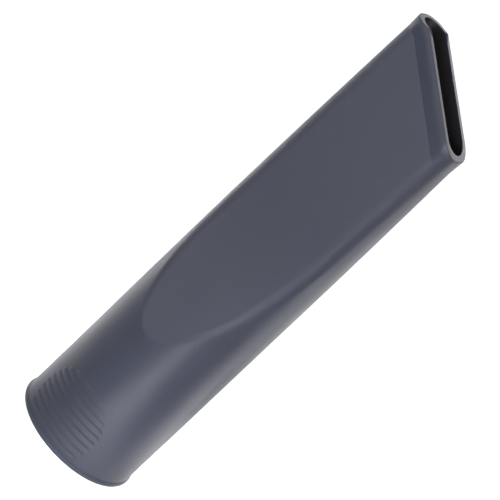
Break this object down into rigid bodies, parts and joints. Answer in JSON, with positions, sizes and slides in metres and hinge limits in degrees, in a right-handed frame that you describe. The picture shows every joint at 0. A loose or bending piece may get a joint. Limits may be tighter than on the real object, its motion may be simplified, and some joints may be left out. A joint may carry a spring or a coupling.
{
  "type": "vacuum crevice tool",
  "caption": "Hollow plastic vacuum crevice tool: a ribbed round socket that pushes over a wand, flattened by a ramp into a long thin nozzle with a slanted slot mouth.",
  "frame": {"origin": "centre of the socket's rim, in the plane that the rim stands on", "axes": "+Z along the tool from the rim to the mouth, Y across the two broad faces with -Y the pictured one, +X towards the side where the slanted mouth ends lowest"},
  "size_m": [0.0402, 0.0402, 0.16],
  "materials": {
    "satin_plastic": "satin blue-grey moulded plastic"
  },
  "bodies": {
    "root": {"crevice_tool": "satin_plastic"}
  },
  "joints": []
}
